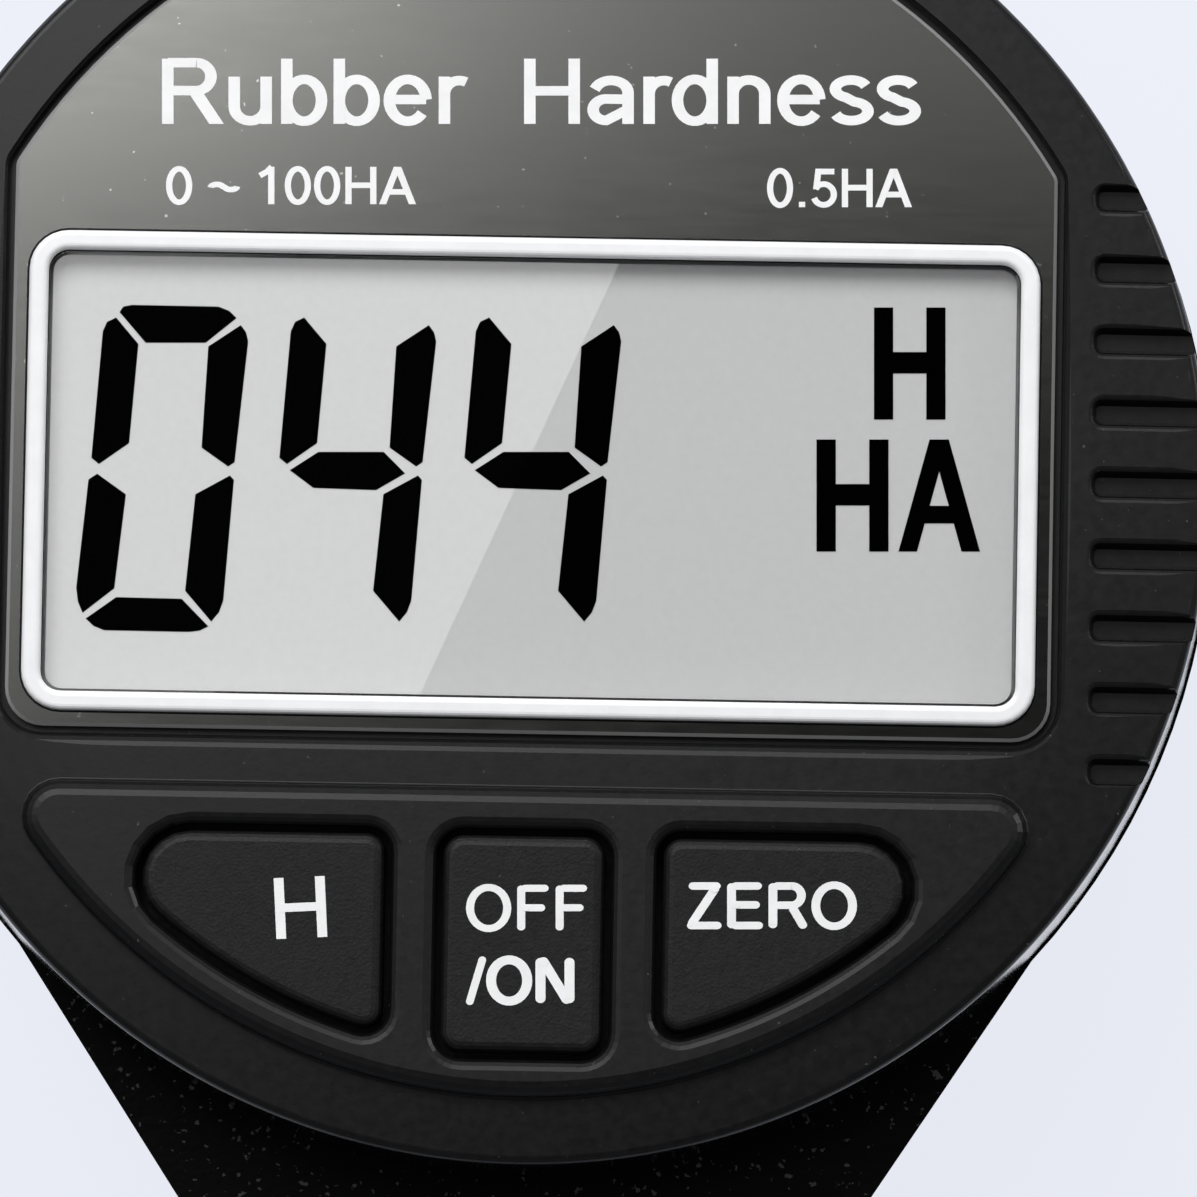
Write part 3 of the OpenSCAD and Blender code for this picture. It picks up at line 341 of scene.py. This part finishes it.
def dress_nodes():
    """Give each CAD node the finish of its slot."""
    slots = {s["node"]: s["material_slot"] for s in frame["record"]["subparts"]}
    for name, obj in nodes.items():
        obj.data.materials.clear()
        obj.data.materials.append(MATS[slots[name]])


# Pieces

# Thickness of ink, the step between strokes that cross, the number of such steps, and the gap
# under the figures and under the print, in millimetres
INK_T = 0.012
INK_STEP = 0.003
INK_STEPS = 8
FIGURES_GAP = 0.01
PRINT_GAP = 0.005


def mesh_piece(name, bm, mat, body):
    """A piece of the scene that rides on a body."""
    mesh = bpy.data.meshes.new(name)
    bm.to_mesh(mesh)
    bm.free()
    obj = bpy.data.objects.new(name, mesh)
    bpy.context.scene.collection.objects.link(obj)
    mesh.materials.append(MATS[mat])
    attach(obj, body)


def add_prism(bm, loop, z0, z1):
    """A prism over a loop of points in millimetres."""
    low = [bm.verts.new((x * MM, y * MM, z0 * MM)) for x, y in loop]
    high = [bm.verts.new((x * MM, y * MM, z1 * MM)) for x, y in loop]
    n = len(loop)
    bm.faces.new(high)
    bm.faces.new(low[::-1])
    for i in range(n):
        bm.faces.new((low[i], low[(i + 1) % n], high[(i + 1) % n], high[i]))


# Plain lettering as strokes on a grid of 716 to a capital's height. A path holds points and
# arcs (centre x, y, radii x, y, start and end angle); a path that starts with "/" is a slanting
# stroke cut level at both ends.

GLYPHS = {
    " ": (278, []),
    "H": (722, [[(126, 0), (126, 716)], [(596, 0), (596, 716)], [(126, 363), (596, 363)]]),
    "O": (778, [[(389, 358, 296, 328, 0, 360)]]),
    "F": (611, [[(129, 0), (129, 716)], [(129, 672), (565, 672)], [(129, 362), (510, 362)]]),
    "N": (722, [[(123, 0), (123, 716)], [(597, 0), (597, 716)], ["/", (127, 716), (593, 0)]]),
    "Z": (611, [[(52, 672), (566, 672)], [(24, 43), (580, 43)], ["/", (72, 40), (512, 676)]]),
    "E": (667, [[(129, 0), (129, 716)], [(129, 672), (617, 672)], [(129, 372), (585, 372)],
                [(129, 43), (634, 43)]]),
    "R": (722, [[(127, 0), (127, 716)],
                [(127, 672), (430, 672), (430, 519, 155, 153, 90, -90), (127, 366)],
                ["/", (420, 350), (644, 0)]]),
    "A": (667, [["/", (51, 0), (330, 716)], ["/", (617, 0), (337, 716)], [(150, 236), (520, 236)]]),
    "0": (556, [[(277, 358, 190, 322, 0, 360)]]),
    "1": (556, [[(329, 0), (329, 719)], [(112, 548), (250, 624), (338, 716)]]),
    "5": (556, [[(478, 664), (172, 664), (132, 330)], [(276, 236, 194, 194, 146, -160)]]),
    ".": (278, [[(141, 0), (141, 100)]]),
    "~": (584, [[(160, 318, 118, 62, 180, 20), (292, 330), (424, 342, 118, 62, 200, 360)]]),
    "/": (278, [["/", (36, -12), (243, 728)]]),
    "a": (556, [[(90, 380), (266, 346, 178, 132, 150, 0), (444, 0)],
                [(444, 270), (212, 156, 138, 118, 90, 270), (444, 160)]]),
    "b": (556, [[(110, 0), (110, 716)], [(294, 259, 184, 230, 0, 360)]]),
    "d": (556, [[(446, 0), (446, 716)], [(262, 259, 184, 230, 0, 360)]]),
    "e": (556, [[(83, 268), (473, 268)], [(278, 259, 195, 230, 2, 322)]]),
    "n": (556, [[(111, 0), (111, 519)], [(111, 310), (279, 330, 168, 152, 180, 0), (447, 0)]]),
    "r": (333, [[(111, 0), (111, 519)], [(111, 310), (268, 330, 157, 146, 180, 62)]]),
    "s": (500, [[(248, 384, 166, 98, 20, 250), (252, 140, 176, 104, 80, -160)]]),
    "u": (556, [[(109, 519), (278, 190, 169, 156, 180, 360), (447, 519)], [(447, 0), (447, 250)]]),
}
# Degrees of a step along an arc
ARC_STEP = 12.0
# Angles over a stroke's round end
END_TURNS = [math.radians(a) for a in range(172, 7, -18)]
# How much wider a slanting stroke's level cut is than its upright width
SLANT_FIT = 1.06
# Least cosine at a corner, which bounds how far the corner stands out
CORNER_MIN = 0.5


def path_points(path):
    """A path as points, with its arcs in steps."""
    points = []
    for item in path:
        if len(item) == 2:
            points.append(item)
            continue
        cx, cy, rx, ry, a0, a1 = item
        n = max(2, round(abs(a1 - a0) / ARC_STEP))
        for i in range(n + 1):
            a = math.radians(a0 + (a1 - a0) * i / n)
            points.append((cx + rx * math.cos(a), cy + ry * math.sin(a)))
    return points


def stroke_sides(points, tx, ty):
    """Left and right edge of a stroke along points; tx and ty are its widths across x and y."""
    left, right = [], []
    closed = math.dist(points[0], points[-1]) < TINY
    last = len(points) - 1
    for i, p in enumerate(points):
        before = points[i - 1] if i else (points[-2] if closed else None)
        after = points[i + 1] if i < last else (points[1] if closed else None)
        units = []
        for a, b in ((before, p), (p, after)):
            if a and b and math.dist(a, b) > TINY:
                d = math.dist(a, b)
                units.append(Vector((-(b[1] - a[1]) / d, (b[0] - a[0]) / d)))
        normal = sum(units, Vector((0, 0))).normalized()
        reach = 1.0 / max(CORNER_MIN, normal.dot(units[0]))
        off = Vector((normal.x * tx / 2, normal.y * ty / 2)) * reach
        left.append((p[0] + off.x, p[1] + off.y))
        right.append((p[0] - off.x, p[1] - off.y))
    return left, right


def round_stroke(path, weight):
    """Strips of a stroke with round ends that stay inside the path's ends."""
    points = path_points([item for item in path if item != "/"])
    rx, ry = weight[0] / 2, weight[1] / 2
    strips = []
    if math.dist(points[0], points[-1]) > TINY:
        for end, inner in ((0, 1), (-1, -2)):
            (x0, y0), (x1, y1) = points[end], points[inner]
            d = math.dist((x0, y0), (x1, y1))
            x, y = x0 + (x1 - x0) / d * rx, y0 + (y1 - y0) / d * ry
            points[end] = (x, y)
            strips.append(([(x + rx * math.cos(a), y + ry * math.sin(a)) for a in END_TURNS],
                           [(x + rx * math.cos(a), y - ry * math.sin(a)) for a in END_TURNS]))
    return strips + [stroke_sides(points, *weight)]


def square_stroke(path, weight):
    """Strips of a stroke with square ends."""
    if path[0] != "/":
        return [stroke_sides(path_points(path), *weight)]
    (x0, y0), (x1, y1) = path[1:]
    half = weight[0] / 2 * math.hypot(1.0, (x1 - x0) / (y1 - y0)) * SLANT_FIT
    return [([(x0 - half, y0), (x1 - half, y1)], [(x0 + half, y0), (x1 + half, y1)])]


def text_piece(name, words, box_px, z, mat, body, weight, turn=0.0, soft=False):
    """Lettering that fills a box given by places in the photograph, turned by degrees."""
    stroke = round_stroke if soft else square_stroke
    strips, pen = [], 0.0
    for char in words:
        wide, paths = GLYPHS[char]
        for path in paths:
            for sides in stroke(path, weight):
                strips.append([[(pen + x, y) for x, y in side] for side in sides])
        pen += wide
    dots = [p for pair in strips for side in pair for p in side]
    x0, x1 = min(p[0] for p in dots), max(p[0] for p in dots)
    y0, y1 = min(p[1] for p in dots), max(p[1] for p in dots)
    u0, v0, u1, v1 = box_px
    c, s = math.cos(math.radians(turn)), math.sin(math.radians(turn))

    def place(p):
        u = ((p[0] - x0) / (x1 - x0) - 0.5) * (u1 - u0)
        v = (0.5 - (p[1] - y0) / (y1 - y0)) * (v1 - v0)
        x, y = part_xy((u0 + u1) / 2 + u * c + v * s, (v0 + v1) / 2 - u * s + v * c, z)
        return (x * MM, y * MM, z * MM)

    bm = bmesh.new()
    for k, (left, right) in enumerate(strips):
        # Strokes that cross lie a hair apart
        lift = Vector((0, 0, (INK_T + INK_STEP * (k % INK_STEPS)) * MM))
        low = [[bm.verts.new(place(p)) for p in side] for side in (left, right)]
        high = [[bm.verts.new(v.co + lift) for v in side] for side in low]
        n = len(left)
        for i in range(n - 1):
            bm.faces.new((high[0][i], high[1][i], high[1][i + 1], high[0][i + 1]))
            bm.faces.new((low[0][i], low[0][i + 1], low[1][i + 1], low[1][i]))
            bm.faces.new((low[0][i], high[0][i], high[0][i + 1], low[0][i + 1]))
            bm.faces.new((low[1][i], low[1][i + 1], high[1][i + 1], high[1][i]))
        for i in (0, n - 1):
            end = (low[0][i], low[1][i], high[1][i], high[0][i])
            bm.faces.new(end if i == 0 else end[::-1])
    mesh_piece(name, bm, mat, body)


# Seven segment figures: loops of the first one by places in the photograph, and each one's shift

SEGMENTS = {
    "a": [(119.6, 312.1), (123.2, 306.6), (131.8, 304.9), (218.5, 306.6), (229.1, 310.8),
          (236.6, 318.0), (205.8, 342.7), (145.6, 342.7)],
    "b": [(240.8, 325.1), (246.0, 332.1), (248.2, 341.4), (234.6, 462.1), (228.1, 466.5),
          (201.6, 447.6), (208.3, 346.4)],
    "c": [(229.9, 475.5), (233.9, 479.9), (223.3, 600.5), (219.1, 612.0), (211.2, 621.6),
          (185.1, 590.8), (195.4, 494.2)],
    "d": [(116.1, 597.1), (181.7, 598.8), (208.3, 626.3), (199.5, 630.7), (188.8, 631.9),
          (104.2, 630.2), (93.6, 626.0), (85.7, 618.5)],
    "e": [(97.2, 473.7), (125.9, 494.3), (114.3, 588.3), (82.6, 612.7), (77.9, 601.7),
          (76.2, 587.7), (88.5, 479.4)],
    "f": [(116.2, 317.5), (138.4, 344.0), (129.1, 443.1), (98.9, 464.0), (91.4, 457.8),
          (102.8, 331.4), (107.1, 321.8)],
    "g": [(101.7, 470.2), (130.4, 451.9), (195.8, 451.9), (217.2, 473.4), (188.0, 490.1),
          (125.4, 487.9)],
}
SEGMENTS_ON = {"0": "abcdef", "4": "bcfg"}
FIGURES = ((0.0, "0"), (188.0, "4"), (373.0, "4"))


def build_display():
    """Figures and signs on the display."""
    z = top_of("lcd_panel") + FIGURES_GAP
    bm = bmesh.new()
    for shift, figure in FIGURES:
        for seg in SEGMENTS_ON[figure]:
            points = [part_xy(u + shift, v, z) for u, v in SEGMENTS[seg]]
            pairs = zip(points, points[1:] + points[:1])
            area = sum(a[0] * b[1] - b[0] * a[1] for a, b in pairs)
            add_prism(bm, points if area > 0 else points[::-1], z, z + INK_T)
    mesh_piece("lcd_figures", bm, "ink_black", "case")
    for name, words, box_px, weight in (
        ("lcd_hold_sign", "H", (874, 307.5, 945.5, 419.5), (172, 136)),
        ("lcd_unit_h", "H", (816.5, 439.5, 888.5, 551.5), (172, 136)),
        ("lcd_unit_a", "A", (898.5, 439.5, 980, 551.5), (146, 112)),
    ):
        text_piece(name, words, box_px, z, "ink_black", "case", weight)


def build_print():
    """Words on the faceplate and labels on the keys."""
    z = top_of("faceplate") + PRINT_GAP
    for name, words, box_px, weight in (
        ("plate_title", "Rubber  Hardness", (162, 58, 921, 126), (122, 104)),
        ("plate_range", "0 ~ 100HA", (166, 165, 416, 205), (118, 106)),
        ("plate_step", "0.5HA", (767, 168, 912, 208), (118, 106)),
    ):
        text_piece(name, words, box_px, z, "print_white", "case", weight)
    for body, name, words, box_px, weight, turn in (
        ("hold_key", "hold_label", "H", (275, 877, 326, 938), (112, 100), 2.6),
        ("power_key", "power_label_off", "OFF", (466, 884, 587, 932), (128, 112), 0.0),
        ("power_key", "power_label_slash", "/", (466, 956.5, 486, 1005), (110, 110), 0.0),
        ("power_key", "power_label_on", "ON", (486, 955.5, 574.5, 1005.5), (164, 140), 0.0),
        ("zero_key", "zero_label", "ZERO", (687, 881.5, 857, 930), (142, 120), 0.0),
    ):
        text_piece(name, words, box_px, top_of(body) + PRINT_GAP, "print_white", body,
                   weight, turn, soft=body != "hold_key")


# Stage

# Share of the floor's look that the lamps and the object's shadow make
FLOOR_SHADE = 0.08
FLOOR_TINT = (0.845, 0.87, 0.947, 1)
# Half the floor's width and its gap under the gauge in metres
FLOOR_HALF = 3.0
FLOOR_GAP = 0.0002
# What is mirrored is a white sheet under the gauge, grey further off: radii in metres and levels
SHEET = [(0.06, grey(1)), (0.1, grey(0.1))]
# Two places in the photo on the edge of the card that the display mirrors, and the card's size
CARD_EDGE_PX = ((620, 262), (422, 690))
CARD_SIZE = (0.32, 0.5)
# The lamps beside the card hang lower than it, as lamps at one height hide each other
LAMP_DROP = 0.005
# Levels along the lamp that the faceplate mirrors, from its right end to its left
PLATE_LEVELS = ((0.0, 0.3), (0.09, 0.22), (0.17, 0.125), (0.42, 0.25), (0.65, 0.87), (0.75, 1.0),
                (1.0, 0.6))
# Place on the gauge that the outer lamps point at
LAMP_AIM = (0, 0, 0.02)
# The surroundings by height, and their level from the foot's side to the head's
SKY = [(0.66, (0.42, 0.43, 0.45)), (0.93, (0.04, 0.04, 0.042))]
SKY_LEVELS = [(0.25, grey(0.4)), (0.6, grey(1))]


def add_floor():
    """A pale floor that stays pale to the camera and keeps some of the object's shadow."""
    mat, tree, bsdf = new_material("floor")
    set_inputs(bsdf, Roughness=0.9, Base_Color=FLOOR_TINT)
    out = tree.nodes["Material Output"]
    glow = tree.nodes.new("ShaderNodeEmission")
    glow.inputs["Color"].default_value = FLOOR_TINT
    glow.inputs["Strength"].default_value = 1.0
    path = tree.nodes.new("ShaderNodeLightPath")
    seen = math_node(tree, "MAXIMUM", path.outputs["Is Glossy Ray"],
                     path.outputs["Is Transmission Ray"])
    seen = math_node(tree, "MULTIPLY", seen, ramp(tree, from_axis(tree), SHEET))
    seen = math_node(tree, "MAXIMUM", seen, path.outputs["Is Camera Ray"])
    part = math_node(tree, "MULTIPLY", seen, 1.0 - FLOOR_SHADE)
    mix = tree.nodes.new("ShaderNodeMixShader")
    tree.links.new(part, mix.inputs["Fac"])
    tree.links.new(bsdf.outputs["BSDF"], mix.inputs[1])
    tree.links.new(glow.outputs["Emission"], mix.inputs[2])
    tree.links.new(mix.outputs["Shader"], out.inputs["Surface"])
    bm = bmesh.new()
    bmesh.ops.create_grid(bm, x_segments=1, y_segments=1, size=FLOOR_HALF)
    mesh = bpy.data.meshes.new("floor")
    bm.to_mesh(mesh)
    bm.free()
    floor = bpy.data.objects.new("floor", mesh)
    mesh.materials.append(mat)
    floor.location = (0, 0, cad_box[0][2] - FLOOR_GAP)
    bpy.context.scene.collection.objects.link(floor)


def add_area(name, pos, target, size, power, turn=0.0, stops=None):
    """A rectangular lamp; stops grade it along its first side."""
    data = bpy.data.lights.new(name, "AREA")
    data.shape = "RECTANGLE"
    data.size, data.size_y = size
    data.energy = power
    if stops:
        data.use_nodes = True
        tree = data.node_tree
        split = tree.nodes.new("ShaderNodeSeparateXYZ")
        place = tree.nodes.new("ShaderNodeNewGeometry").outputs["Parametric"]
        tree.links.new(place, split.inputs["Vector"])
        level = ramp(tree, split.outputs["X"], [(x, grey(v)) for x, v in stops])
        tree.links.new(level, tree.nodes["Emission"].inputs["Color"])
    obj = bpy.data.objects.new(name, data)
    aim = (Vector(pos) - Vector(target)).to_track_quat("Z", "Y").to_matrix().to_4x4()
    obj.matrix_world = Matrix.Translation(pos) @ aim @ Matrix.Rotation(turn, 4, "Z")
    bpy.context.scene.collection.objects.link(obj)


def add_lights():
    """The card whose edge the display mirrors, the lamps beside it and the outer ones."""
    z = top_of("lcd_panel")
    edge_a, edge_b = [2 * Vector(part_xy(u, v, z)) - EYE.xy for u, v in CARD_EDGE_PX]
    along = (edge_a - edge_b).normalized()
    left = Vector((-along.y, along.x))
    mid = (edge_a + edge_b) / 2 * MM + left * CARD_SIZE[0] / 2
    spot = (mid.x, mid.y, EYE.z * MM)
    turn = math.atan2(-left.y, -left.x)
    add_area("card_light", spot, (spot[0], spot[1], 0), CARD_SIZE, 0.165, turn=turn)
    # The faceplate mirrors these softly, and the display doesn't
    height = spot[2] - LAMP_DROP
    for name, x, y, size, power, stops in (
        ("plate_light", -0.02, 0.094, (0.16, 0.07), 0.26, PLATE_LEVELS),
        ("left_light", -0.095, 0.03, (0.08, 0.04), 0.03, None),
        ("right_light", 0.19, 0.03, (0.1, 0.2), 0.07, None),
    ):
        add_area(name, (x, y, height), (x, y, 0), size, power, stops=stops)
    add_area("top_light", (-0.13, 0.4, 0.5), LAMP_AIM, (0.6, 0.3), 3.8)
    add_area("side_light", (0.5, 0.2, 0.25), LAMP_AIM, (0.25, 0.12), 0.4)


def add_world():
    """Soft light from around the horizon, darker overhead and towards the foot."""
    world = bpy.data.worlds.new("world")
    world.use_nodes = True
    bpy.context.scene.world = world
    tree = world.node_tree
    coord = tree.nodes.new("ShaderNodeTexCoord")
    split = tree.nodes.new("ShaderNodeSeparateXYZ")
    tree.links.new(coord.outputs["Generated"], split.inputs["Vector"])
    tint = ramp(tree, split.outputs["Z"], SKY)
    side = math_node(tree, "MULTIPLY_ADD", split.outputs["Y"], 0.5, 0.5)
    color = mix_color(tree, 1.0, tint, ramp(tree, side, SKY_LEVELS), "MULTIPLY")
    background = tree.nodes["Background"]
    tree.links.new(color, background.inputs["Color"])
    background.inputs["Strength"].default_value = 1.0


def add_camera():
    """The camera at the photograph's viewing angle."""
    data = bpy.data.cameras.new("camera")
    data.sensor_width = SENSOR_MM
    data.lens = SENSOR_MM * FOCAL_PX / IMAGE_PX
    data.clip_start = CLIP_START
    cam = bpy.data.objects.new("camera", data)
    right, up, ahead = camera_axes()
    turn = Matrix((right, up, -ahead)).transposed().to_4x4()
    cam.matrix_world = Matrix.Translation(EYE * MM) @ turn
    bpy.context.scene.collection.objects.link(cam)
    bpy.context.scene.camera = cam


def main():
    dress_nodes()
    build_display()
    build_print()
    add_floor()
    add_lights()
    add_world()
    add_camera()
    bpy.context.scene.view_settings.view_transform = "Standard"
    spring = nodes["main_spring"]
    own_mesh(spring)


main()
